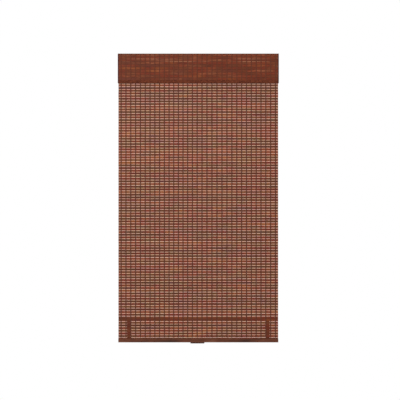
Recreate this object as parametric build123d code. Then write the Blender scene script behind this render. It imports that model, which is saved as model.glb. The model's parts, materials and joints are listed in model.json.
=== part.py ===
from build123d import *
import math
import os

# Cordless roman shade of woven bamboo slats, fully lowered.
# Millimetres. +Z is up, the room side faces -Y and the window is at +Y.
# The origin is the middle of the two brackets' screw holes, on their top faces.

# Overall sizes
panel_width = 900.0
drop = 1626.0               # bracket top to the bottom of the rail
shade_top_gap = 1.0         # under the ceiling or lintel

# Woven mat
slat_height = 12.6
slat_gap = 2.42
slat_thick = 1.6
thread_pitch = 27.16        # between neighbouring warp threads
thread_margin = 14.0        # least distance from the outer thread to the slats' ends
bar_width = 4.0
bar_thick = 1.0
seam_clearance = 0.3        # between a thread's end and the next row of the mat

# Pleats
pleats = 5
rows_per_pleat = 16
ring_rows = 1               # flat row that carries the rings between two pleats
hem_rows = 8                # between the lowest pleat and the rail
rail_lap_rows = 1           # hidden behind the rail
pleat_closed = 32.0         # height of one folded pleat when the shade is raised

# Hem
rail_height = 21.5
rail_thick = 9.0
rail_round = 1.5
rail_reveal = 5.5           # rail top to the lowest open row
backing_height = 15.0
backing_thick = 3.0
batten_height = 21.4
batten_thick = 5.0
batten_drop = 5.1           # below the seam under the lowest pleat
batten_inset = 1.0          # from the panel's ends
tape_width = 22.0
tape_thick = 1.0
lift_line_inset = 60.0      # from the panel's ends

# Pull handle
handle_width = 79.0
handle_offset = -5.0
handle_plate = 1.5
handle_lip = 4.5
handle_depth = 16.0
handle_lip_depth = 4.0
handle_corner = 4.0
handle_screw_x = 30.0
handle_screw_r = 1.25
handle_screw_head_r = 2.2
handle_screw_head = 1.0
handle_screw_length = 7.0
handle_screw_gap = 0.1
handle_screw_inset = 0.4     # head's rim to the grip lip

# Headrail channel, open at the top
rail_depth = 48.0
channel_height = 38.0
channel_wall = 1.0
channel_lip = 6.0
channel_top = -5.0
channel_inset = 3.0         # from the panel's ends
cap_thick = 3.0
cap_gap = 0.3
cap_plug = 8.0
cap_plug_wall = 2.0

# Strips that hold the panel and the valance
panel_strip_thick = 2.0
valance_strip_thick = 3.0
strip_height = 25.0
strip_inset = 5.0
strip_drop = 3.0

# Valance
valance_drop = 165.0
valance_rows = 11
valance_web = 0.8
valance_ridge = 1.0
return_gap = 0.8            # panel edge to the lining
lining_thick = 0.6
lining_inset = 2.0

# Rings and lift cord
ring_plate = 10.0
ring_plate_thick = 1.2
ring_major = 5.0
ring_wire = 1.0
ring_sink = 0.4
cord_r = 0.7
anchor_width = 10.0
anchor_height = 10.0
anchor_depth = 8.0
grommet_r = 3.2
grommet_bore = 1.7
grommet_flange_r = 4.6
grommet_flange = 0.8
grommet_collar = 1.6
grommet_gap = 0.1

# Lift shaft, spools and their cradles
shaft_side = 5.0
shaft_overrun = 22.0        # past the middle of each spool
shaft_z = -24.0
spool_barrel_r = 8.0
spool_barrel = 30.0
spool_flange_r = 11.8
spool_flange = 1.5
cord_layer_gap = 0.3
journal_r = 5.0
journal_gap = 0.3
square_gap = 0.1
cradle_wall = 3.0
cradle_side_gap = 0.5
cradle_base = 1.8
cradle_rise = 9.0           # above the shaft's centre
cradle_front_gap = 0.5
cradle_slot_r = 3.6

# Spring motor
motor_half = 26.0
motor_wall = 1.6
motor_top = -10.0
motor_cover = 1.6
motor_side_gap = 0.5
drum_barrel = 22.0
drum_flange = 1.5
drum_flange_r = 9.8
output_barrel_r = 7.0
storage_barrel_r = 5.5
storage_journal_r = 3.0
storage_y = 10.5
spring_width = 20.0
spring_gap = 0.3
spring_sheet = 0.4
storage_coil = 3.0
output_coil = 0.8

# Brackets
bracket_inset = 150.0       # from the panel's ends
bracket_width = 30.0
bracket_depth = 42.0
bracket_plate = 1.5
bracket_hole_r = 2.25
bracket_hole_inset = 9.0    # towards the middle of the shade
bracket_hole_y = 12.0
hook_web_y = -15.0
hook_thick = 1.5
hook_reach = 0.7            # hook tip to the channel's wall
lip_clearance = 0.3
lever_y = 4.0
lever_pin_r = 2.4
lever_pin_gap = 0.3
lever_hub_r = 5.0
lever_width = 9.0
lever_arm_thick = 2.0
lever_arm_reach = 26.0
lever_cam_reach = 18.0
lever_play = 0.3
lever_stem_r = 3.5

# Derived places along the width
half_width = panel_width / 2
channel_half = half_width - channel_inset
lift_line_x = half_width - lift_line_inset
shaft_half = lift_line_x + shaft_overrun
bracket_x = half_width - bracket_inset
threads_each_side = int((half_width - thread_margin) / thread_pitch)
outer_bar_x = threads_each_side * thread_pitch
inner_bar_x = threads_each_side // 2 * thread_pitch
bar_places = [-outer_bar_x, -inner_bar_x, 0.0, inner_bar_x, outer_bar_x]

# Derived places, from the headrail outwards
rail_front_y = -rail_depth / 2
mat_back_y = rail_front_y - panel_strip_thick
mat_y = mat_back_y - slat_thick / 2
mat_front_y = mat_back_y - slat_thick
lining_back_y = mat_front_y - valance_strip_thick
valance_back_y = lining_back_y - lining_thick
cord_y = mat_back_y + ring_plate_thick + ring_major + ring_wire - ring_sink
wind_r = spool_barrel_r + cord_layer_gap + cord_r
shaft_y = cord_y + wind_r
channel_floor = channel_top - channel_height + channel_wall

# Derived heights, counted in rows from the rail upwards
pitch = slat_height + slat_gap
rail_bottom = -drop
rail_top = rail_bottom + rail_height


def seam_z(row):
    """Height of the open line under a row of the mat; row 0 is the first one above the rail."""
    return rail_top + rail_reveal + row * pitch


hem_seam = hem_rows
pleat_rows = rows_per_pleat + ring_rows
pleat_low = [hem_seam + (pleats - k) * pleat_rows for k in range(1, pleats + 1)]
pleat_high = [low + rows_per_pleat for low in pleat_low]
header_seam = pleat_high[0]
header_rows = int((channel_top - seam_z(header_seam)) / pitch)      # up to the channel's top
ring_z = [seam_z(high) + pitch / 2 for high in pleat_high]
anchor_top = seam_z(hem_seam) - batten_drop - batten_height / 2 + anchor_height / 2
cord_ends = ring_z + [anchor_top]


def block(x0, x1, y0, y1, z0, z1):
    """A box between two corners."""
    middle = Pos((x0 + x1) / 2, (y0 + y1) / 2, (z0 + z1) / 2)
    return middle * Box(abs(x1 - x0), abs(y1 - y0), abs(z1 - z0))


def rod_x(radius, x0, x1, y, z):
    """A round bar along X."""
    return Pos((x0 + x1) / 2, y, z) * Rot(0, 90, 0) * Cylinder(radius, x1 - x0)


def rod_z(radius, z0, z1, x, y):
    """A round bar along Z."""
    return Pos(x, y, (z0 + z1) / 2) * Cylinder(radius, z1 - z0)


def fused(pieces):
    return Part() + list(pieces)


def mirrored(piece):
    return mirror(piece, about=Plane.YZ)


def slat(row):
    """One bamboo slat, in the row above seam_z(row)."""
    low = seam_z(row) + slat_gap / 2
    return block(-half_width, half_width, mat_front_y, mat_back_y, low, low + slat_height)


def warp_bars(low, high):
    """Five of the thread lines that tie the slats together; the rest are fine yarn."""
    y0, y1 = mat_y - bar_thick / 2, mat_y + bar_thick / 2
    return [block(x - bar_width / 2, x + bar_width / 2, y0, y1, low, high) for x in bar_places]


def mat(first, last, loose_ends):
    """Woven rows from seam first to seam last. Loose ends reach for the neighbouring rows."""
    reach = slat_gap / 2 - seam_clearance if loose_ends else -slat_gap / 2 - slat_height / 2
    bars = warp_bars(seam_z(first) - reach, seam_z(last) + reach)
    return fused([slat(row) for row in range(first, last)] + bars)


def header_mat():
    return mat(header_seam, header_seam + header_rows, False)


def pleat_mat(k):
    return mat(pleat_low[k], pleat_high[k], True)


def hem_mat():
    return mat(-rail_lap_rows, hem_seam, False)


def bottom_rail():
    y0 = mat_front_y - rail_thick
    bar = block(-half_width, half_width, y0, mat_front_y, rail_bottom, rail_top)
    front = [e for e in bar.edges().filter_by(Axis.X) if e.center().Y < y0 + rail_thick / 2]
    return fillet(front, rail_round)


def rail_backing():
    """Thin slat that clamps the mat's end against the rail."""
    middle = (rail_bottom + rail_top) / 2
    z0, z1 = middle - backing_height / 2, middle + backing_height / 2
    return block(-half_width, half_width, mat_back_y, mat_back_y + backing_thick, z0, z1)


def hem_batten():
    top = seam_z(hem_seam) - batten_drop
    half = half_width - batten_inset
    return block(-half, half, mat_back_y, mat_back_y + batten_thick, top - batten_height, top)


def hem_tape():
    """Right-hand tape from the batten down to the rail's backing slat."""
    top = seam_z(hem_seam) - batten_drop - batten_height
    low = (rail_bottom + rail_top) / 2 + backing_height / 2
    x0, x1 = lift_line_x - tape_width / 2, lift_line_x + tape_width / 2
    return block(x0, x1, mat_back_y, mat_back_y + tape_thick, low, top)


def pull_handle():
    """Flat plate under the rail with a grip lip along its room side."""
    x0 = handle_offset - handle_width / 2
    x1 = handle_offset + handle_width / 2
    y0 = mat_front_y - rail_thick
    plate = block(x0, x1, y0, y0 + handle_depth, rail_bottom - handle_plate, rail_bottom)
    corners = [e for e in plate.edges().filter_by(Axis.Z) if e.center().Y > y0 + handle_depth / 2]
    plate = fillet(corners, handle_corner)
    low = rail_bottom - handle_plate - handle_lip
    lip = block(x0, x1, y0, y0 + handle_lip_depth, low, rail_bottom - handle_plate)
    ends = [e for e in lip.edges().filter_by(Axis.Y) if e.center().Z < low + handle_lip / 2]
    handle = fused([plate, fillet(ends, handle_corner)])
    for place in handle_screw_places():
        bore = handle_screw_r + handle_screw_gap
        handle -= rod_z(bore, rail_bottom - handle_plate, rail_bottom, *place)
    return handle


def handle_screw_places():
    lip_back = mat_front_y - rail_thick + handle_lip_depth
    y = lip_back + handle_screw_inset + handle_screw_head_r
    return [(handle_offset + side * handle_screw_x, y) for side in (-1, 1)]


def rail_with_screw_holes():
    rail = bottom_rail()
    for place in handle_screw_places():
        top = rail_bottom + handle_screw_length + handle_screw_gap
        rail -= rod_z(handle_screw_r + handle_screw_gap, rail_bottom, top, *place)
    return rail


def handle_screws():
    screws = []
    for place in handle_screw_places():
        seat = rail_bottom - handle_plate
        shank = rod_z(handle_screw_r, seat, rail_bottom + handle_screw_length, *place)
        head = rod_z(handle_screw_head_r, seat - handle_screw_head, seat, *place)
        screws.append(fused([shank, head]))
    return Compound(children=screws)


def headrail():
    """Steel channel with inward lips, and a hole in its floor under each spool."""
    y1, z1 = rail_depth / 2, channel_top
    z0 = channel_top - channel_height
    outer = block(-channel_half, channel_half, -y1, y1, z0, z1)
    y2, z2 = y1 - channel_wall, z0 + channel_wall
    inner = block(-channel_half, channel_half, -y2, y2, z2, z1 - channel_wall)
    y3 = y1 - channel_lip
    slot = block(-channel_half, channel_half, -y3, y3, z1 - channel_wall, z1)
    rail = outer - inner - slot
    for side in (-1, 1):
        rail -= rod_z(grommet_r + grommet_gap, z0, z2, side * lift_line_x, cord_y)
    return rail


def headrail_cap():
    """Right-hand end cap: a plate with a hollow plug that fits inside the channel."""
    z0, z1 = channel_top - channel_height, channel_top
    x0 = channel_half + cap_gap
    plate = block(x0, x0 + cap_thick, -rail_depth / 2, rail_depth / 2, z0, z1)
    y2 = rail_depth / 2 - channel_wall - cap_gap
    z2, z3 = z0 + channel_wall + cap_gap, z1 - channel_wall - cap_gap
    plug = block(x0 - cap_plug, x0, -y2, y2, z2, z3)
    y4 = y2 - cap_plug_wall
    core = block(x0 - cap_plug, x0, -y4, y4, z2 + cap_plug_wall, z3 - cap_plug_wall)
    return fused([plate, plug - core])


def panel_strip():
    """Holds the panel's top rows against the channel's front."""
    half = channel_half - strip_inset
    z1 = channel_top - strip_drop
    return block(-half, half, mat_back_y, rail_front_y, z1 - strip_height, z1)


def valance_strip():
    half = channel_half - strip_inset
    z1 = channel_top - strip_drop
    return block(-half, half, lining_back_y, mat_front_y, z1 - strip_height, z1)


def valance_rows_z():
    step = valance_drop / valance_rows
    top = -shade_top_gap
    return [(top - n * step - slat_height, top - n * step) for n in range(valance_rows)]


def valance_half():
    return half_width + return_gap + lining_thick + valance_web + valance_ridge


def valance_front():
    """Slats side by side on a closed web, so that no light comes through."""
    half = valance_half()
    web_front = valance_back_y - valance_web
    web = block(-half, half, web_front, valance_back_y, -shade_top_gap - valance_drop, -shade_top_gap)
    front = web_front - valance_ridge
    return fused([web] + [block(-half, half, front, web_front, *z) for z in valance_rows_z()])


def valance_return():
    """Right-hand end piece that runs back to the wall side of the channel."""
    x0 = half_width + return_gap + lining_thick
    x1 = x0 + valance_web
    y0, y1 = valance_back_y, rail_depth / 2
    web = block(x0, x1, y0, y1, -shade_top_gap - valance_drop, -shade_top_gap)
    return fused([web] + [block(x1, x1 + valance_ridge, y0, y1, *z) for z in valance_rows_z()])


def valance_lining():
    """Cloth behind the valance's front and returns."""
    x1 = half_width + return_gap + lining_thick
    z0 = -shade_top_gap - valance_drop + lining_inset
    z1 = -shade_top_gap - lining_inset
    outer = block(-x1, x1, valance_back_y, rail_depth / 2, z0, z1)
    x2 = x1 - lining_thick
    return outer - block(-x2, x2, lining_back_y, rail_depth / 2, z0, z1)


def ring_slat(k):
    """The single row between pleat k and the next one down."""
    return slat(pleat_low[k] - ring_rows)


def ring_set(k):
    """Two rings on small plates, on the back of row k's slat, with the cord's way upright."""
    z = ring_z[k]
    rings = []
    for side in (-1, 1):
        x = side * lift_line_x
        half = ring_plate / 2
        plate = block(x - half, x + half, mat_back_y, mat_back_y + ring_plate_thick, z - half, z + half)
        rings.append(fused([plate, Pos(x, cord_y, z) * Torus(ring_major, ring_wire)]))
    return Compound(children=rings)


def cord_anchors():
    """Blocks on the batten's back that the two cords end in."""
    blocks = []
    y0 = mat_back_y + batten_thick
    for side in (-1, 1):
        x = side * lift_line_x
        half = anchor_width / 2
        low = anchor_top - anchor_height
        blocks.append(block(x - half, x + half, y0, y0 + anchor_depth, low, anchor_top))
    return Compound(children=blocks)


def cord_pair(top, low):
    return Compound(children=[rod_z(cord_r, low, top, s * lift_line_x, cord_y) for s in (-1, 1)])


def cord_grommets():
    floor_under = channel_top - channel_height
    grommets = []
    for side in (-1, 1):
        x = side * lift_line_x
        collar_top = floor_under + grommet_collar
        collar = rod_z(grommet_r, floor_under, collar_top, x, cord_y)
        flange = rod_z(grommet_flange_r, floor_under - grommet_flange, floor_under, x, cord_y)
        bore = rod_z(grommet_bore, floor_under - grommet_flange, collar_top, x, cord_y)
        grommets.append(fused([collar, flange]) - bore)
    return Compound(children=grommets)


def lift_shaft():
    half = shaft_side / 2
    y, z = shaft_y, shaft_z
    return block(-shaft_half, shaft_half, y - half, y + half, z - half, z + half)


def square_bore(x0, x1):
    half = shaft_side / 2 + square_gap
    return block(x0, x1, shaft_y - half, shaft_y + half, shaft_z - half, shaft_z + half)


def spool():
    """Right-hand spool, driven by the square shaft."""
    x = lift_line_x
    a = spool_barrel / 2
    b = a + spool_flange
    c = b + cradle_side_gap + cradle_wall
    barrel = rod_x(spool_barrel_r, x - a, x + a, shaft_y, shaft_z)
    flanges = [
        rod_x(spool_flange_r, x - b, x - a, shaft_y, shaft_z),
        rod_x(spool_flange_r, x + a, x + b, shaft_y, shaft_z),
    ]
    journals = rod_x(journal_r, x - c, x + c, shaft_y, shaft_z)
    return fused([barrel, journals] + flanges) - square_bore(x - c, x + c)


def spool_cradle():
    """Right-hand cradle on the channel's floor, with a bearing wall at each end of the spool."""
    x = lift_line_x
    inner = spool_barrel / 2 + spool_flange + cradle_side_gap
    outer = inner + cradle_wall
    y0 = -rail_depth / 2 + channel_wall + cradle_front_gap
    y1 = shaft_y + (shaft_y - y0)
    top = shaft_z + cradle_rise
    base = block(x - outer, x + outer, y0, y1, channel_floor, channel_floor + cradle_base)
    walls = [
        block(x - outer, x - inner, y0, y1, channel_floor, top),
        block(x + inner, x + outer, y0, y1, channel_floor, top),
    ]
    bearing = rod_x(journal_r + journal_gap, x - outer, x + outer, shaft_y, shaft_z)
    slot = rod_z(cradle_slot_r, channel_floor, channel_floor + cradle_base, x, cord_y)
    slot += block(x - cradle_slot_r, x + cradle_slot_r, y0, cord_y,
                  channel_floor, channel_floor + cradle_base)
    return fused([base] + walls) - bearing - slot


def motor_case():
    """Open box in the channel's middle, with the two drums' bearings in its end walls."""
    y1 = rail_depth / 2 - channel_wall - motor_side_gap
    outer = block(-motor_half, motor_half, -y1, y1, channel_floor, motor_top)
    x2, y2 = motor_half - motor_wall, y1 - motor_wall
    inner = block(-x2, x2, -y2, y2, channel_floor + motor_wall, motor_top)
    output = rod_x(journal_r + journal_gap, -motor_half, motor_half, shaft_y, shaft_z)
    storage = rod_x(storage_journal_r + journal_gap, -motor_half, motor_half, storage_y, shaft_z)
    return outer - inner - output - storage


def motor_lid():
    y1 = rail_depth / 2 - channel_wall - motor_side_gap
    return block(-motor_half, motor_half, -y1, y1, motor_top, motor_top + motor_cover)


def drum(barrel_r, axle_r, y):
    a = drum_barrel / 2
    b = a + drum_flange
    pieces = [
        rod_x(barrel_r, -a, a, y, shaft_z),
        rod_x(drum_flange_r, -b, -a, y, shaft_z),
        rod_x(drum_flange_r, a, b, y, shaft_z),
        rod_x(axle_r, -motor_half, motor_half, y, shaft_z),
    ]
    return fused(pieces)


def output_drum():
    return drum(output_barrel_r, journal_r, shaft_y) - square_bore(-motor_half, motor_half)


def storage_drum():
    return drum(storage_barrel_r, storage_journal_r, storage_y)


def coil(inner_r, thick, y):
    half = spring_width / 2
    ring = rod_x(inner_r + thick, -half, half, y, shaft_z)
    return ring - rod_x(inner_r, -half, half, y, shaft_z)


def spring_band():
    """Steel band: a full coil on the storage drum, one turn on the output drum, and the crossing."""
    storage_r = storage_barrel_r + spring_gap
    output_r = output_barrel_r + spring_gap
    r1 = storage_r + storage_coil - spring_sheet / 2
    r2 = output_r + output_coil - spring_sheet / 2
    apart = storage_y - shaft_y
    across = (r1 + r2) / apart
    ny, nz = -across, math.sqrt(1 - across**2)
    y1, z1 = storage_y + r1 * ny, shaft_z + r1 * nz
    y2, z2 = shaft_y - r2 * ny, shaft_z - r2 * nz
    length = math.hypot(y2 - y1, z2 - z1)
    angle = math.degrees(math.atan2(z1 - z2, y1 - y2))
    strip = Box(spring_width, length, spring_sheet)
    strip = Pos(0, (y1 + y2) / 2, (z1 + z2) / 2) * Rot(angle, 0, 0) * strip
    coils = [coil(storage_r, storage_coil, storage_y), coil(output_r, output_coil, shaft_y)]
    return fused(coils + [strip])


def bracket():
    """Right-hand clip: screwed up through its plate, it hooks under the channel's front lip."""
    x0, x1 = bracket_x - bracket_width / 2, bracket_x + bracket_width / 2
    y1 = bracket_depth / 2
    plate = block(x0, x1, -y1, y1, -bracket_plate, 0)
    tongue_top = channel_top - channel_wall - lip_clearance
    tongue_low = tongue_top - hook_thick
    tip = -rail_depth / 2 + channel_wall + hook_reach
    web = block(x0, x1, hook_web_y - hook_thick, hook_web_y, tongue_low, 0)
    tongue = block(x0, x1, tip, hook_web_y, tongue_low, tongue_top)
    clip = fused([plate, web, tongue])
    clip -= rod_z(lever_pin_r + lever_pin_gap, -bracket_plate, 0, bracket_x, lever_y)
    for y in (-bracket_hole_y, bracket_hole_y):
        x = bracket_x - bracket_hole_inset
        clip -= rod_z(bracket_hole_r, -bracket_plate, 0, x, y)
    return clip


def bracket_lever():
    """Right-hand turn lever: its cam holds the channel's rear lip from below."""
    x, half = bracket_x, lever_width / 2
    top = -bracket_plate - lever_play
    low = top - lever_arm_thick
    pin = rod_z(lever_pin_r, top, -lever_play, x, lever_y)
    hub = rod_z(lever_hub_r, low, top, x, lever_y)
    arm = block(x - half, x + half, lever_y, lever_y + lever_arm_reach, low, top)
    cam_top = channel_top - channel_wall - lip_clearance
    cam_low = cam_top - hook_thick
    stem = rod_z(lever_stem_r, cam_low, low, x, lever_y)
    cam = block(x - half, x + half, lever_y, lever_y + lever_cam_reach, cam_low, cam_top)
    cam_hub = rod_z(lever_hub_r, cam_low, cam_top, x, lever_y)
    return fused([pin, hub, arm, stem, cam, cam_hub])


def both_sides(name, piece):
    return {name + "_right": piece, name + "_left": mirrored(piece)}


def build():
    nodes = {
        "headrail": headrail(),
        "panel_strip": panel_strip(),
        "valance_strip": valance_strip(),
        "valance_front": valance_front(),
        "valance_lining": valance_lining(),
        "cord_grommets": cord_grommets(),
        "lift_shaft": lift_shaft(),
        "motor_case": motor_case(),
        "motor_lid": motor_lid(),
        "output_drum": output_drum(),
        "storage_drum": storage_drum(),
        "spring_band": spring_band(),
        "header_mat": header_mat(),
        "hem_mat": hem_mat(),
        "hem_batten": hem_batten(),
        "bottom_rail": rail_with_screw_holes(),
        "rail_backing": rail_backing(),
        "pull_handle": pull_handle(),
        "handle_screws": handle_screws(),
        "cord_anchors": cord_anchors(),
        "lift_cord_top": cord_pair(shaft_z, cord_ends[0]),
    }
    nodes |= both_sides("headrail_cap", headrail_cap())
    nodes |= both_sides("bracket", bracket())
    nodes |= both_sides("bracket_lever", bracket_lever())
    nodes |= both_sides("spool", spool())
    nodes |= both_sides("spool_cradle", spool_cradle())
    nodes |= both_sides("valance_return", valance_return())
    nodes |= both_sides("hem_tape", hem_tape())
    for k in range(pleats):
        nodes[f"pleat_mat_{k + 1}"] = pleat_mat(k)
        nodes[f"ring_set_{k}"] = ring_set(k)
        nodes[f"lift_cord_{k + 1}"] = cord_pair(cord_ends[k], cord_ends[k + 1])
        if k < pleats - 1:
            nodes[f"ring_slat_{k + 1}"] = ring_slat(k)
    return nodes


os.makedirs("parts", exist_ok=True)
for name, piece in build().items():
    export_step(piece, f"parts/{name}.step")
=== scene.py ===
import json
import math
import random

import bpy
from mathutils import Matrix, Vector


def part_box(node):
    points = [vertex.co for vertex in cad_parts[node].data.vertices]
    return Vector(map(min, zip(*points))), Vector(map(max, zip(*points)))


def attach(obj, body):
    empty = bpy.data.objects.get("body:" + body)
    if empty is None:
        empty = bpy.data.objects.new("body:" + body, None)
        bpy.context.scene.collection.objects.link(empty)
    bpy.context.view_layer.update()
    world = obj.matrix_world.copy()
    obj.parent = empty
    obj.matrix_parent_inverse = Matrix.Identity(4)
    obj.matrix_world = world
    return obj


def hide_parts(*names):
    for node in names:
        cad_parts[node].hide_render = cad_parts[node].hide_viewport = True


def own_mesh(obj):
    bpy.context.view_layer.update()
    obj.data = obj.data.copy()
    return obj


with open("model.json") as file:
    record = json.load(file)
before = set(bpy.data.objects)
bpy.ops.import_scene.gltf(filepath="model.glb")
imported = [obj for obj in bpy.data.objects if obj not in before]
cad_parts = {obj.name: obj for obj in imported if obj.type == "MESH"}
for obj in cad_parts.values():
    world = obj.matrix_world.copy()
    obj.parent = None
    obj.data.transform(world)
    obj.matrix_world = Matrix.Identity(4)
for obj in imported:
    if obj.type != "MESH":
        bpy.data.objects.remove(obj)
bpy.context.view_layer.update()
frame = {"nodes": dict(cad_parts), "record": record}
nodes = frame["nodes"]
print("frame loaded:", len(nodes), "nodes")

view = {
    "metresPerPixel": 0.005632,      # at the panel
    "frameSize": 400,
    "centreX": 0.0096,
    "centreZ": -0.825,
    "lens": 110.0,
    "sensor": 36.0,
}


def tone(red, green, blue):          # a colour as a screen shows it, 0 to 255
    linear = []
    for part in (red, green, blue):
        part = part / 255
        linear.append(part / 12.92 if part <= 0.04045 else ((part + 0.055) / 1.055) ** 2.4)
    return (*linear, 1.0)


studio = {
    "floorZ": -2.3,
    "floorSize": 5.0,
    "floorTone": tone(240, 240, 238),
    "white": (1.0, 1.0, 1.0, 1.0),
    "worldLight": 0.78,
    "lampPlace": (-1.6, -4.0, 1.2),
    "lampEnergy": 120.0,
    "lampSize": 3.0,
}


class Value:                         # a shader output that takes part in plain maths
    def __init__(self, finish, socket):
        self.finish = finish
        self.socket = socket

    def calc(self, operation, *terms):
        return self.finish.node("ShaderNodeMath", {"operation": operation}, dict(enumerate(terms)))

    def __add__(self, other):
        return self.calc("ADD", self, other)

    def __radd__(self, other):
        return self.calc("ADD", other, self)

    def __sub__(self, other):
        return self.calc("SUBTRACT", self, other)

    def __rsub__(self, other):
        return self.calc("SUBTRACT", other, self)

    def __mul__(self, other):
        return self.calc("MULTIPLY", self, other)

    def __rmul__(self, other):
        return self.calc("MULTIPLY", other, self)

    def __truediv__(self, other):
        return self.calc("DIVIDE", self, other)

    def __rtruediv__(self, other):
        return self.calc("DIVIDE", other, self)

    def floor(self):
        return self.calc("FLOOR", self)

    def fraction(self):
        return self.calc("FRACT", self)

    def size(self):
        return self.calc("ABSOLUTE", self)


class NodeSheet:                     # a node tree that starts empty, and the one way its nodes are made
    def __init__(self, tree):
        self.tree = tree
        self.tree.nodes.clear()

    def node(self, kind, settings=None, inputs=None, output=0):
        made = self.tree.nodes.new(kind)
        for key, value in (settings or {}).items():
            if key == "stops":
                while len(made.color_ramp.elements) < len(value):
                    made.color_ramp.elements.new(0.5)
                for element, (place, colour) in zip(made.color_ramp.elements, value):
                    element.position = place
                    element.color = colour
            else:
                setattr(made, key, value)
        for key, value in (inputs or {}).items():
            if isinstance(value, Value):
                self.tree.links.new(value.socket, made.inputs[key])
            else:
                made.inputs[key].default_value = value
        return Value(self, made.outputs[output]) if made.outputs else made


class Finish(NodeSheet):             # a material built around one Principled shader
    def __init__(self, name, **constants):
        self.material = bpy.data.materials.new(name)
        self.material.use_nodes = True
        super().__init__(self.material.node_tree)
        fixed = {socket.replace("_", " "): value for socket, value in constants.items()}
        surface = self.node("ShaderNodeBsdfPrincipled", {}, fixed)
        self.shader = surface.socket.node
        self.out = self.node("ShaderNodeOutputMaterial", {}, {"Surface": surface})

    def feed(self, **links):
        for socket, value in links.items():
            self.tree.links.new(value.socket, self.shader.inputs[socket.replace("_", " ")])
        return self.material

    def place(self, stretch=(1, 1, 1)):
        spot = self.node("ShaderNodeTexCoord", output="Object")
        return self.node("ShaderNodeMapping", {}, {"Vector": spot, "Scale": stretch})

    def split(self, vector, *axes):      # a vector's parts, by number
        parts = self.node("ShaderNodeSeparateXYZ", {}, {0: vector}).socket.node.outputs
        return [Value(self, parts[axis]) for axis in axes]

    def vector(self, x, y, z=0.0):
        return self.node("ShaderNodeCombineXYZ", {}, {0: x, 1: y, 2: z})

    def noise(self, where, scale, detail=2.0, rough=0.5):
        return self.node("ShaderNodeTexNoise", {},
                         {"Vector": where, "Scale": scale, "Detail": detail, "Roughness": rough})

    def draw(self, number):          # one random value for each whole number
        return self.node("ShaderNodeTexWhiteNoise", {"noise_dimensions": "1D"}, {"W": number})

    def span(self, value, low, high, start=0.0, end=1.0):
        return self.node("ShaderNodeMapRange", {"interpolation_type": "SMOOTHSTEP"},
                         {"Value": value, "From Min": low, "From Max": high, "To Min": start, "To Max": end})

    def ramp(self, value, *stops):
        return self.node("ShaderNodeValToRGB", {"stops": stops}, {"Fac": value})

    def mix(self, share, first, second, blend="MIX"):
        return self.node("ShaderNodeMix", {"data_type": "RGBA", "blend_type": blend},
                         {0: share, 6: first, 7: second}, 2)

    def bump(self, height, strength, distance):
        return self.node("ShaderNodeBump", {}, {"Height": height, "Strength": strength, "Distance": distance})


def clearChoice():
    if bpy.context.object and bpy.context.object.mode != "OBJECT":
        bpy.ops.object.mode_set(mode="OBJECT")
    bpy.ops.object.select_all(action="DESELECT")


def choose(*pieces):
    clearChoice()
    for piece in pieces:
        piece.select_set(True)
    bpy.context.view_layer.objects.active = pieces[0]


def bake(piece):                     # the place goes into the mesh
    choose(piece)
    bpy.ops.object.transform_apply(location=True, rotation=True, scale=True)
    return piece


def boxPiece(name, low, high):
    clearChoice()
    centre = (Vector(low) + Vector(high)) / 2
    bpy.ops.mesh.primitive_cube_add(size=1, location=centre, scale=Vector(high) - Vector(low))
    piece = bpy.context.object
    piece.name = name
    piece.data.name = name
    return bake(piece)


def applyAll(piece):
    choose(piece)
    for modifier in list(piece.modifiers):
        bpy.ops.object.modifier_apply(modifier=modifier.name)
    return piece


def pickEdges(piece, test):          # in edit mode, the edges whose two ends pass the test
    choose(piece)
    bpy.ops.object.mode_set(mode="EDIT")
    bpy.ops.mesh.select_mode(type="EDGE")
    bpy.ops.mesh.select_all(action="DESELECT")
    bpy.ops.object.mode_set(mode="OBJECT")
    points = piece.data.vertices
    for edge in piece.data.edges:
        edge.select = test(*(points[i].co for i in edge.vertices))
    bpy.ops.object.mode_set(mode="EDIT")


def copyOf(piece, name):
    choose(piece)
    bpy.ops.object.duplicate(linked=False)
    twin = bpy.context.object
    twin.name = name
    return twin


def joined(pieces, name):
    choose(*pieces)
    if len(pieces) > 1:
        bpy.ops.object.join()
    piece = bpy.context.object
    piece.name = name
    piece.data.name = name
    return piece


def paint(piece, material):
    piece.data.materials.clear()
    piece.data.materials.append(material)
    return piece


def removePiece(piece):
    bpy.data.meshes.remove(piece.data)


# how the rows of the mat lie, read from the frame
rowBox = {k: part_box(f"ring_slat_{k}") for k in (1, 2, 3, 4)}
rowsBetweenRings = 17
ringFourRow = 24                     # rows are counted from the first one above the rail
slatHeight = rowBox[1][1].z - rowBox[1][0].z
rowPitch = (rowBox[1][0].z - rowBox[4][0].z) / (3 * rowsBetweenRings)
slatGap = rowPitch - slatHeight
matFront, matBack = rowBox[1][0].y, rowBox[1][1].y
panelHalf = rowBox[1][1].x

# the weave map: metres along X, and rows with the share of a row's height
mapShift = 2.0                       # added to x, so that it stays positive
mapRowShift = 5                      # and to the row
valanceMapRow = 300                  # where the valance's rows start on the map
returnMapRow = 350                   # and its two returns', each this far from it
returnMapStep = 20


def rowLow(row):
    return rowBox[4][0].z + (row - ringFourRow) * rowPitch


def mapRow(z):                       # a height in the frame as a row of the weave map
    return (z - rowBox[4][0].z) / rowPitch + ringFourRow + mapRowShift


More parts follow.
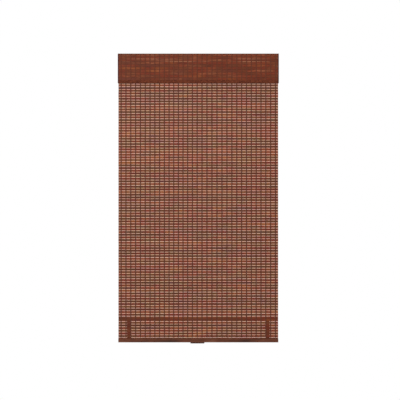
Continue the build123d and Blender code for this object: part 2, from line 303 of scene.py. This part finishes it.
# bamboo and yarn
bamboo = {
    "plum": tone(90, 46, 42),
    "brown": tone(94, 58, 30),
    "maroon": tone(110, 42, 30),
    "amber": tone(132, 74, 36),
    "dark": tone(58, 26, 18),
    "light": tone(160, 98, 62),
    # painted light: pale tones at each slat's edges, for the white that shows through the gaps
    "edges": (tone(238, 168, 152), tone(250, 178, 140), tone(240, 192, 142)),
    "edgeWidth": 0.17,               # share of the slat's height, at each edge, that the painted gap light covers
    "patchLength": 0.13,             # metres along a slat from one hue to the next
    "edgeHueLength": 0.2,
    "stretchScale": 5.0,             # variation along a slat, per metre, from broad to fine
    "streakScale": 26.0,
    "dashScale": 30.0,
    "grainScale": 90.0,
    "knotEvery": 0.31,
    "knotHalf": (0.0008, 0.003),     # shares of that distance where a knot and its halo fade
    "haloHalf": (0.002, 0.012),
    "paintedBackShade": tone(90, 32, 12),      # painted shade on the slats over the batten and the tapes
    "paintedBackShadeShare": 0.55,
    "contrast": 1.2,
    "rowShare": 0.35,                # how much one slat differs from the next
    "lightShare": 0.55,
    "roughness": 0.5,
}


def bambooFinish(name, settings, seed, shaded=None, glow=None):
    finish = Finish(name, Specular_IOR_Level=0.12)
    x, v = finish.split(finish.node("ShaderNodeUVMap", {"uv_map": "weave"}), 0, 1)
    row = v.floor()
    across = v - row
    patch = finish.noise(finish.vector(x / settings["patchLength"], row * 1.31 + seed), 1.0, 2.0)
    stretch = finish.noise(finish.vector(x * settings["stretchScale"], row * 7.31 + seed), 1.0, 2.0)
    streak = finish.noise(finish.vector(x * settings["streakScale"], across * 5.0 + row * 11.7), 1.0, 3.0)
    grain = finish.noise(finish.vector(x * settings["grainScale"], across * 26.0 + row * 5.3), 1.0, 2.0)
    colour = finish.ramp(patch, (0.3, settings["plum"]), (0.44, settings["brown"]),
                         (0.56, settings["maroon"]), (0.7, settings["amber"]))
    fromRow = settings["rowShare"]
    shade = finish.draw(row + seed) * fromRow + stretch * 0.6 + streak * 0.7 - (0.645 + fromRow / 2)
    shade = shade * settings["contrast"] + 0.5
    colour = finish.mix(finish.span(shade, 0.5, 0.95, 0.0, settings["lightShare"]), colour, settings["light"])
    colour = finish.mix(finish.span(shade, 0.1, 0.5, 0.6, 0.0), colour, settings["dark"])
    colour = finish.mix(finish.span(grain, 0.35, 0.75, 0.0, 0.3), colour, settings["dark"])
    # painted light at each slat's edges, broken into dashes, for light through the gaps; the valance's dark
    # edge tones are painted shade between its slats
    edge = finish.span((across - 0.5).size(), 0.5 - settings["edgeWidth"], 0.5)
    dash = finish.span(finish.noise(finish.vector(x * settings["dashScale"], row * 3.7), 1.0, 1.0), 0.3, 0.6)
    pinkEdge, peachEdge, tanEdge = settings["edges"]
    edgeHue = finish.noise(finish.vector(x / settings["edgeHueLength"], row * 2.3 + seed), 1.0, 1.0)
    lit = finish.ramp(edgeHue, (0.36, pinkEdge), (0.5, peachEdge), (0.64, tanEdge))
    paintedEdgeLightShade = edge * (dash * 0.4 + 0.6)
    if shaded:                       # painted shade: no light comes through where the batten or a tape lies behind, so the edge light is taken off and the slats are painted darker
        paintedBackShade = shaded(finish, x, v)
        paintedEdgeLightShade = paintedEdgeLightShade * (1 - paintedBackShade)
        colour = finish.mix(paintedBackShade * settings["paintedBackShadeShare"], colour, settings["paintedBackShade"])
    colour = finish.mix(paintedEdgeLightShade, colour, finish.mix(patch * 0.3, lit, colour))
    if glow:
        colour = finish.mix(glow(finish, x, v), colour, settings["glowTone"])
    knotPlace = (x / settings["knotEvery"] + finish.draw(row * 3.3 + seed)).fraction()
    away = (knotPlace - 0.5).size() + (streak - 0.5) * 0.004
    knot = 1 - finish.span(away, *settings["knotHalf"])
    halo = 1 - finish.span(away, *settings["haloHalf"])
    colour = finish.mix(halo * 0.15, colour, settings["light"])
    colour = finish.mix(knot * 0.6, colour, settings["dark"])
    bump = finish.bump(grain * 0.5 + streak * 0.5 + knot * 0.8, 0.5, 0.0006)
    rough = streak * 0.2 + (settings["roughness"] - 0.1)
    return finish.feed(Base_Color=colour, Roughness=rough, Normal=bump)


yarn = {
    "colour": tone(74, 36, 23),
    "worn": tone(94, 50, 33),
    "strandWide": 0.00172,           # half width of one flattened strand
    "strandThick": 0.00035,
    "spread": 0.00145,               # each strand from the column's middle
    "proud": 0.9,                    # how far they stand off the slat, in thicknesses
    "cutAt": 0.36,                   # shares of a row's height: bend lines, and where the gap's pinch starts
    "pinchFrom": 0.45,
    "pinch": 0.6,
    "weld": 0.00005,
    "pitch": 0.02716,                # from one column to the next
    "eachSide": 16,
    "drift": 0.0065,                 # how far the middle columns wander to the left
    "driftReach": 0.14,
}


def yarnFinish(name, settings):
    finish = Finish(name, Roughness=0.85, Specular_IOR_Level=0.2, Sheen_Weight=0.15)
    spot = finish.place()
    twist = finish.node("ShaderNodeTexWave", {"bands_direction": "DIAGONAL"},
                        {"Vector": spot, "Scale": 280.0, "Distortion": 1.5})
    worn = finish.noise(spot, 60.0)
    colour = finish.mix(worn * 0.4 + twist * 0.4, settings["colour"], settings["worn"])
    return finish.feed(Base_Color=colour, Normal=finish.bump(twist, 0.6, 0.0002))


# the mask of painted shade where the batten and the tapes lie behind the hem's slats
def shadeBehindHem(finish, x, v):
    battenLow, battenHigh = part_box("hem_batten")
    tapeLow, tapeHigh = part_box("hem_tape_right")
    middle, reach = (tapeLow.x + tapeHigh.x) / 2, (tapeHigh.x - tapeLow.x) / 2
    low, high = mapRow(battenLow.z), mapRow(battenHigh.z)
    half, soft = (high - low) / 2, 0.03
    batten = 1 - finish.span((v - (low + high) / 2).size(), half - soft, half + soft)
    sideways = ((x - mapShift).size() - middle).size()
    tape = (1 - finish.span(sideways, reach - 0.001, reach + 0.001)) * v.calc("LESS_THAN", v, low)
    return batten.calc("MAXIMUM", batten, tape)


def seamLight(finish, x, v):         # here and there light shows between two of the valance's upper slats
    shown = []
    for seam, seed in ((valanceMapRow + 9, 0.0), (valanceMapRow + 8, 7.0)):
        line = 1 - finish.span((v - seam).size(), 0.03, 0.13)
        patchy = finish.span(finish.noise(finish.vector(x * 5.0, seed), 1.0, 1.0), 0.45, 0.6, 0.0, 0.75)
        shown.append(line * patchy)
    return shown[0] + shown[1]


panelBamboo = bambooFinish("stainedBamboo", bamboo, 3.0, shadeBehindHem)
valanceLook = {
    **bamboo,
    "plum": tone(98, 44, 28),
    "brown": tone(100, 48, 22),
    "maroon": tone(108, 40, 17),
    "amber": tone(118, 56, 20),
    "dark": tone(60, 24, 12),
    "light": tone(162, 96, 62),
    # painted shade: dark tones at the valance slats' edges, for the shade between them
    "edges": (tone(70, 30, 18),) * 3,
    "edgeWidth": 0.2,
    "patchLength": 0.14,
    "contrast": 1.7,
    "rowShare": 0.12,
    "lightShare": 0.7,
    "glowTone": tone(196, 138, 104),
}
valanceBamboo = bambooFinish("valanceBamboo", valanceLook, 401.0, glow=seamLight)
warpYarn = yarnFinish("warpYarn", yarn)
valanceYarn = yarnFinish("valanceYarn", {"colour": tone(80, 36, 20), "worn": tone(104, 50, 28)})
print("bamboo and yarn finishes made")

slat = {
    "cover": 1.156,                  # drawn height as a share of the node's, with its fuzzy edges
    "thick": 0.0011,
    "roundOver": 0.0004,
    "heightSpread": 0.008,
    "slip": 0.0001,
    "endSlip": 0.0012,
    "mapMargin": 0.02,               # of the slat's height, beyond it at each edge on the weave map
}


def slatModel(length, height, thick, roundOver):     # one strip lying along X, its front towards -Y
    piece = boxPiece("slatModel", (-length / 2, -thick / 2, -height / 2), (length / 2, thick / 2, height / 2))
    pickEdges(piece, lambda a, b: abs(a.x - b.x) > length / 2)
    bpy.ops.mesh.bevel(offset=roundOver, segments=2, affect="EDGES")
    bpy.ops.object.mode_set(mode="OBJECT")
    return piece


def numberRows(piece, row, low, height):      # writes the weave map
    layer = piece.data.uv_layers.new(name="weave")
    for loop in piece.data.loops:
        spot = piece.data.vertices[loop.vertex_index].co
        share = min(0.999, max(0.001, (spot.z - low) / height))
        layer.data[loop.index].uv = (spot.x + mapShift, row + share)


def laySlat(model, row, seed, low, height, yMiddle, length):
    chance = random.Random(seed)
    piece = copyOf(model, f"slat{seed}")
    grow = 1 + chance.uniform(-1, 1) * slat["heightSpread"]
    shrink = 1 - chance.random() * slat["endSlip"] / length
    slip = chance.uniform(-1, 1) * slat["slip"]
    piece.scale = (shrink, 1, grow)
    piece.location = (0, yMiddle, low + height / 2 + slip)
    piece.rotation_euler = (0, chance.uniform(-1, 1) * slat["slip"] / length, 0)
    bake(piece)
    margin = slat["mapMargin"]
    numberRows(piece, row, low + slip - height * margin, height * (1 + 2 * margin))
    return piece


def yarnLink(pitch, faces=(-1, 1)):  # one row of a thread column: two flat strands in front, two behind
    strands = []
    proud = slat["thick"] / 2 + yarn["strandThick"] * yarn["proud"]
    for side in (-1, 1):
        for face in faces:
            clearChoice()
            bpy.ops.mesh.primitive_cylinder_add(vertices=6, radius=1, depth=pitch, end_fill_type="NOTHING",
                                                location=(side * yarn["spread"], face * proud, 0),
                                                scale=(yarn["strandWide"], yarn["strandThick"], 1))
            strand = bake(bpy.context.object)
            choose(strand)
            bpy.ops.object.mode_set(mode="EDIT")
            for share in (-yarn["cutAt"], yarn["cutAt"]):
                bpy.ops.mesh.select_all(action="SELECT")
                bpy.ops.mesh.bisect(plane_co=(0, 0, share * pitch), plane_no=(0, 0, 1))
            bpy.ops.object.mode_set(mode="OBJECT")
            for point in strand.data.vertices:       # in the gap the strands draw together
                if abs(point.co.z) > yarn["pinchFrom"] * pitch:
                    point.co.y -= face * proud * yarn["pinch"]
            strands.append(strand)
    return joined(strands, "yarnLink")


def yarnColumns(link, rows, low, pitch, yMiddle, name):
    piece = copyOf(link, name)
    first = -yarn["eachSide"] * yarn["pitch"]
    piece.location = (first, yMiddle, low + pitch / 2)
    bake(piece)
    for axis, count, step in (("z", rows, pitch), ("x", 2 * yarn["eachSide"] + 1, yarn["pitch"])):
        if count > 1:
            repeat = piece.modifiers.new("repeat", "ARRAY")
            repeat.count = count
            repeat.use_relative_offset = False
            repeat.use_constant_offset = True
            repeat.constant_offset_displace = (step, 0, 0) if axis == "x" else (0, 0, step)
            repeat.use_merge_vertices = axis == "z"
            repeat.merge_threshold = yarn["weld"]
    applyAll(piece)
    for point in piece.data.vertices:
        point.co.x -= yarn["drift"] * math.exp(-(point.co.x / yarn["driftReach"]) ** 2)
    choose(piece)
    bpy.ops.object.shade_smooth()
    return piece


panelMiddleY = (matFront + matBack) / 2
drawnHeight = slatHeight * slat["cover"]
panelSlat = slatModel(2 * panelHalf, drawnHeight, slat["thick"], slat["roundOver"])
panelLink = yarnLink(rowPitch)


def weaveSection(name, firstRow, count, body, replaced, yarnFrom=0, yarnRows=None):
    lows = [rowLow(row) + slatHeight / 2 - drawnHeight / 2 for row in range(firstRow, firstRow + count)]
    strips = [laySlat(panelSlat, row + mapRowShift, row + 50, low, drawnHeight, panelMiddleY, 2 * panelHalf)
              for row, low in zip(range(firstRow, firstRow + count), lows)]
    piece = paint(joined(strips, name), panelBamboo)
    threads = yarnColumns(panelLink, yarnRows or count - yarnFrom,
                          rowLow(firstRow + yarnFrom) - slatGap / 2, rowPitch, panelMiddleY, name + "Yarn")
    paint(threads, warpYarn)
    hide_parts(*replaced)
    for each in (piece, threads):
        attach(each, body)
    return piece, threads


# the panel: header, five pleats in two halves each, the ring rows and the hem
pleats = 5
headerRows, pleatRows, hemRows = 14, 16, 9
firstHemRow, hemTopRow = -1, 8       # the rail covers the first
headerLowRow = hemTopRow + pleats * rowsBetweenRings - 1
hiddenHeaderRows = 2                 # the strips clamp these, so no yarn is drawn there
bodyBelow = ["row_1", "row_2", "row_3", "row_4", "hem"]
bodyAbove = ["headrail_unit"] + bodyBelow[:-1]

weaveSection("headerWeave", headerLowRow, headerRows, "headrail_unit", ["header_mat"],
             yarnRows=headerRows - hiddenHeaderRows)
for k in range(pleats):
    lowRow = hemTopRow + (pleats - 1 - k) * rowsBetweenRings
    middle = lowRow + pleatRows // 2
    top = rowLow(lowRow + pleatRows) - slatGap / 2
    bottom = rowLow(lowRow) - slatGap / 2
    upper = weaveSection(f"pleat{k + 1}Upper", middle, pleatRows // 2, bodyAbove[k], [f"pleat_mat_{k + 1}"])
    lower = weaveSection(f"pleat{k + 1}Lower", lowRow, pleatRows // 2, bodyBelow[k], [f"pleat_mat_{k + 1}"])
    for piece in upper:
        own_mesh(piece)
    for piece in lower:
        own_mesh(piece)
    if k < pleats - 1:
        weaveSection(f"ringRow{k + 1}", lowRow - 1, 1, bodyBelow[k], [f"ring_slat_{k + 1}"])
weaveSection("hemWeave", firstHemRow, hemRows, "hem", ["hem_mat"], yarnFrom=1)
removePiece(panelSlat)
removePiece(panelLink)
print("panel woven")

valance = {
    "rows": 11,
    "cover": 0.985,                  # share of the row's pitch that a slat covers
    "thick": 0.001,
    "roundOver": 0.0003,
    # painted shade: the dark sheet behind the valance's slats
    "webShadeTone": tone(58, 30, 23),
    "webInset": 0.0005,
    "bindingWidth": 0.016,
    "topBinding": 0.005,
    "sideBinding": 0.006,
    "bindingProud": 0.0008,
    "bindingTone": tone(108, 54, 31),
    "bindingFleck": tone(50, 22, 12),
    "sideTone": tone(82, 46, 44),
}

frontLow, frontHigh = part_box("valance_front")
valancePitch = (frontHigh.z - frontLow.z) / valance["rows"]
valanceHeight = valancePitch * valance["cover"]


# painted shade: a dark sheet behind the valance's slats, mottled with bamboo brown, for the shade seen
# through their gaps
def paintedShadeWeb():
    finish = Finish("valanceShadeWeb", Roughness=0.8, Specular_IOR_Level=0.2)
    mottle = finish.noise(finish.place((30, 30, 200)), 1.0)
    return finish.feed(Base_Color=finish.mix(mottle * 0.5, valance["webShadeTone"], bamboo["brown"]))


def bindingFinish(name, base, fleck):
    finish = Finish(name, Roughness=0.85, Specular_IOR_Level=0.12)
    dots = finish.noise(finish.place((160, 160, 220)), 1.0, 2.0)
    threads = finish.noise(finish.place((900, 900, 1400)), 1.0, 2.0)
    cloud = finish.noise(finish.place((14, 14, 40)), 1.0, 2.0)
    colour = finish.mix(finish.span(dots * 0.5 + threads * 0.5, 0.38, 0.62), base, fleck)
    return finish.feed(Base_Color=finish.mix(cloud * 0.25, colour, bamboo["maroon"]),
                       Normal=finish.bump(threads, 0.6, 0.0003))


webShadeFinish = paintedShadeWeb()
bindingCloth = bindingFinish("bindingCloth", valance["bindingTone"], valance["bindingFleck"])
sideCloth = bindingFinish("sideBindingCloth", valance["sideTone"], valance["bindingFleck"])


def valanceStrips(name, length, seed):      # a flat run of slats along X, its front face on the XZ plane
    model = slatModel(length, valanceHeight, valance["thick"], valance["roundOver"])
    strips = []
    for n in range(valance["rows"]):
        low = frontLow.z + n * valancePitch + (valancePitch - valanceHeight) / 2
        strips.append(laySlat(model, n + seed, n + seed, low, valanceHeight, valance["thick"] / 2, length))
    removePiece(model)
    return paint(joined(strips, name), valanceBamboo)


def valanceFront():
    front = valanceStrips("valanceFrontWeave", frontHigh.x - frontLow.x, valanceMapRow)
    front.location.y = frontLow.y
    bake(front)
    inset = valance["webInset"]
    # the dark sheet behind the slats is painted shade in the gaps
    shadeWeb = boxPiece("valanceFrontShadeWeb", (frontLow.x, frontLow.y + valance["thick"], frontLow.z + inset),
                   (frontHigh.x, frontHigh.y, frontHigh.z - inset))
    paint(shadeWeb, webShadeFinish)
    link = yarnLink(valancePitch, (-1,))
    threads = yarnColumns(link, valance["rows"], frontLow.z, valancePitch,
                          frontLow.y + slat["thick"] / 2, "valanceYarns")
    removePiece(link)
    paint(threads, valanceYarn)
    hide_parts("valance_front")
    return [front, shadeWeb, threads]


def valanceReturn(side):
    name = "right" if side > 0 else "left"
    low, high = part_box(f"valance_return_{name}")
    outer = high.x if side > 0 else low.x
    mapStart = returnMapRow + returnMapStep * side
    strips = valanceStrips(f"valanceReturn{name.title()}Weave", high.y - low.y, mapStart)
    strips.rotation_euler.z = side * math.pi / 2
    strips.location = (outer, (low.y + high.y) / 2, 0)
    bake(strips)
    inner = outer - side * (high.x - low.x)
    face = outer - side * valance["thick"]
    inset = valance["webInset"]
    # the dark sheet behind the return's slats is painted shade in the gaps
    shadeWeb = boxPiece(f"valanceReturn{name.title()}ShadeWeb",
                   (min(inner, face), low.y, low.z + inset), (max(inner, face), high.y, high.z - inset))
    paint(shadeWeb, webShadeFinish)
    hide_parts(f"valance_return_{name}")
    return [strips, shadeWeb]


def valanceBindings():               # cloth tape folded over the valance's edges
    proud = valance["bindingProud"]
    yFront, yBack = frontLow.y - proud, frontHigh.y
    xOut = frontHigh.x
    bottom = boxPiece("valanceBottomBinding", (frontLow.x, yFront, frontLow.z),
                      (xOut, yBack, frontLow.z + valance["bindingWidth"]))
    top = boxPiece("valanceTopBinding", (frontLow.x, yFront, frontHigh.z - valance["topBinding"]),
                   (xOut, yBack, frontHigh.z))
    made = [paint(bottom, bindingCloth), paint(top, bindingCloth)]
    for side in (-1, 1):
        ends = sorted((side * xOut, side * (xOut - valance["sideBinding"])))
        edge = boxPiece("valanceSideBinding" + ("Right" if side > 0 else "Left"),
                        (ends[0], yFront - proud / 2, frontLow.z), (ends[1], yBack, frontHigh.z))
        made.append(paint(edge, sideCloth))
    for piece in made:
        soften = piece.modifiers.new("soften", "BEVEL")
        soften.width = proud / 2
        soften.segments = 2
        applyAll(piece)
    return made


for piece in valanceFront() + valanceReturn(-1) + valanceReturn(1) + valanceBindings():
    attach(piece, "headrail_unit")
print("valance made")

cordLook = {"radius": 0.0007, "tone": tone(92, 60, 46), "fleck": tone(58, 34, 26)}


def braidFinish():
    finish = Finish("braidedCord", Roughness=0.75, Specular_IOR_Level=0.25)
    spot = finish.place()
    weaveBands = finish.node("ShaderNodeTexWave", {"bands_direction": "DIAGONAL"},
                             {"Vector": spot, "Scale": 700.0})
    return finish.feed(Base_Color=finish.mix(weaveBands, cordLook["tone"], cordLook["fleck"]),
                       Normal=finish.bump(weaveBands, 0.5, 0.0001))


cordBraid = braidFinish()


def cordPiece(node, body, joint=None):
    low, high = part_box(node)
    pieces = []
    for x in (low.x + cordLook["radius"], high.x - cordLook["radius"]):
        clearChoice()
        bpy.ops.mesh.primitive_cylinder_add(vertices=10, radius=cordLook["radius"], depth=high.z - low.z,
                                            location=(x, (low.y + high.y) / 2, (low.z + high.z) / 2))
        bpy.ops.object.shade_smooth_by_angle(angle=math.radians(50))
        pieces.append(bake(bpy.context.object))
    name = "cord" + node.removeprefix("lift_cord").replace("_", " ").title().replace(" ", "")
    piece = paint(joined(pieces, name), cordBraid)
    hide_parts(node)
    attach(piece, body)
    if joint:
        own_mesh(piece)


cordPiece("lift_cord_top", "headrail_unit")
for k in range(pleats):
    cordPiece(f"lift_cord_{k + 1}", bodyAbove[k], f"lift_{k + 1}")
print("cords made")


# finishes of the frame's own nodes
def woodFinish(name, dark, middle, light, rough=0.5, blotch=9.0):
    finish = Finish(name, Specular_IOR_Level=0.15)
    grain = finish.noise(finish.place((6, 60, 160)), 1.0, 4.0, 0.6)
    cloud = finish.noise(finish.place((blotch, 30, 30)), 1.0, 3.0)
    fleck = finish.noise(finish.place((50, 120, 300)), 1.0, 3.0)
    colour = finish.ramp(grain * 0.45 + cloud * 0.65 - 0.05, (0.3, dark), (0.5, middle), (0.72, light))
    colour = finish.mix(finish.span(fleck, 0.48, 0.75, 0.0, 0.5), colour, dark)
    return finish.feed(Base_Color=colour, Roughness=grain * 0.2 + (rough - 0.1),
                       Normal=finish.bump(grain, 0.35, 0.0004))


def clothFinish(name, base, weft, scale=3000.0):
    finish = Finish(name, Roughness=0.9, Specular_IOR_Level=0.15, Sheen_Weight=0.2)
    x, z = finish.split(finish.place(), 0, 2)
    warp = (x * scale).calc("SINE", x * scale)
    cross = (z * scale).calc("SINE", z * scale)
    weaveHeight = warp * cross * 0.5 + 0.5
    fuzz = finish.noise(finish.place(), 250.0, 3.0)
    colour = finish.mix(weaveHeight * 0.5 + fuzz * 0.3, base, weft)
    return finish.feed(Base_Color=colour, Normal=finish.bump(weaveHeight, 0.4, 0.0002))


def metalFinish(name, base, rough, brush=(2, 400, 400)):
    finish = Finish(name, Metallic=1.0)
    # brush lines vary the roughness, and lighten the colour towards near-white: a painted highlight
    brushLinesAndSheen = finish.noise(finish.place(brush), 1.0, 3.0)
    return finish.feed(Base_Color=finish.mix(brushLinesAndSheen * 0.25, base, tone(235, 235, 232)),
                       Roughness=brushLinesAndSheen * 0.18 + rough)


def paintFinish(name, base, rough, orangePeel=0.15, scale=300.0, shine=0.5):
    finish = Finish(name, Specular_IOR_Level=shine)
    skin = finish.noise(finish.place(), scale, 2.0)
    haze = finish.noise(finish.place(), 12.0, 2.0)
    darker = tuple(c * 0.86 for c in base[:3]) + (1.0,)      # what the haze takes from the colour
    return finish.feed(Base_Color=finish.mix(haze * 0.5, base, darker), Roughness=haze * 0.15 + rough,
                       Normal=finish.bump(skin, orangePeel, 0.0001))


railWood = woodFinish("railWood", tone(50, 26, 16), tone(92, 48, 30), tone(122, 82, 62))
battenWood = woodFinish("battenWood", tone(70, 30, 14), tone(100, 42, 20), tone(116, 60, 30))
liningCloth = clothFinish("liningCloth", tone(150, 124, 100), tone(172, 148, 122))
tapeCloth = clothFinish("tapeCloth", tone(96, 42, 28), tone(116, 58, 40))
stripCloth = clothFinish("stripCloth", tone(196, 192, 184), tone(218, 214, 206), 4500.0)
railPaint = paintFinish("railPaint", tone(232, 229, 222), 0.3)
whiteMoulding = paintFinish("whiteMoulding", tone(226, 223, 214), 0.36)
greyMoulding = paintFinish("greyMoulding", tone(120, 121, 122), 0.42)
ringMoulding = paintFinish("ringMoulding", tone(104, 74, 60), 0.28)
handleMoulding = paintFinish("handleMoulding", tone(56, 28, 18), 0.45, shine=0.25)
platedSteel = metalFinish("platedSteel", tone(150, 152, 155), 0.32)
springSteel = metalFinish("springSteel", tone(110, 114, 122), 0.3)
shaftMetal = metalFinish("shaftMetal", tone(172, 173, 176), 0.28)
screwMetal = metalFinish("screwMetal", tone(150, 128, 104), 0.3)

nodeFinish = {
    "rail_paint": railPaint, "strip": stripCloth, "valance": valanceBamboo, "lining": liningCloth,
    "white_plastic": whiteMoulding, "grey_plastic": greyMoulding, "ring_plastic": ringMoulding,
    "shaft_metal": shaftMetal, "spring_steel": springSteel, "plated_steel": platedSteel,
    "weave": panelBamboo, "hem_wood": railWood, "batten": battenWood, "tape": tapeCloth,
    "cord": cordBraid, "handle": handleMoulding, "screw": screwMetal,
}
for part in frame["record"]["subparts"]:
    node = nodes[part["node"]]
    node.data.materials.clear()
    node.data.materials.append(nodeFinish[part["material_slot"]])
print("finishes set")


def seesBackground(sheet):           # 1 on rays that meet the plain white, 0 on those that carry its light
    seen = sheet.node("ShaderNodeLightPath", output="Is Camera Ray")
    rays = seen.socket.node.outputs
    for kind in ("Is Glossy Ray", "Is Transmission Ray"):
        seen = seen.calc("MAXIMUM", seen, Value(sheet, rays[kind]))
    return seen


# studio
clearChoice()
bpy.ops.mesh.primitive_plane_add(size=studio["floorSize"], location=(0, 0, studio["floorZ"]))
floor = bpy.context.object
floor.name = "floor"
floorFinish = Finish("floorPale", Roughness=0.9, Base_Color=studio["floorTone"])
glow = floorFinish.node("ShaderNodeEmission", {}, {"Color": studio["white"], "Strength": 1.0})
lit = Value(floorFinish, floorFinish.shader.outputs[0])
blended = floorFinish.node("ShaderNodeMixShader", {}, {0: seesBackground(floorFinish), 1: lit, 2: glow})
floorFinish.tree.links.new(blended.socket, floorFinish.out.inputs[0])
floor.data.materials.append(floorFinish.material)

world = bpy.data.worlds.new("studioWhite")
bpy.context.scene.world = world
world.use_nodes = True
sky = NodeSheet(world.node_tree)
level = sky.node("ShaderNodeMapRange", {},
                 {"Value": seesBackground(sky), "To Min": studio["worldLight"], "To Max": 1.0})
background = sky.node("ShaderNodeBackground", {}, {"Color": studio["white"], "Strength": level})
sky.node("ShaderNodeOutputWorld", {}, {"Surface": background})

clearChoice()
bpy.ops.object.light_add(type="AREA", location=studio["lampPlace"])
lamp = bpy.context.object
lamp.name = "softLamp"
lamp.data.energy = studio["lampEnergy"]
lamp.data.size = studio["lampSize"]
aim = Vector((0, 0, view["centreZ"])) - lamp.location
lamp.rotation_euler = aim.to_track_quat("-Z", "Y").to_euler()

distance = view["metresPerPixel"] * view["frameSize"] * view["lens"] / view["sensor"]
bpy.ops.object.camera_add(location=(view["centreX"], matFront - distance, view["centreZ"]),
                          rotation=(math.pi / 2, 0, 0))
camera = bpy.context.object
camera.data.lens = view["lens"]
camera.data.sensor_width = view["sensor"]
camera.data.clip_end = 50.0
bpy.context.scene.camera = camera
bpy.context.scene.view_settings.view_transform = "Standard"
print("studio set")
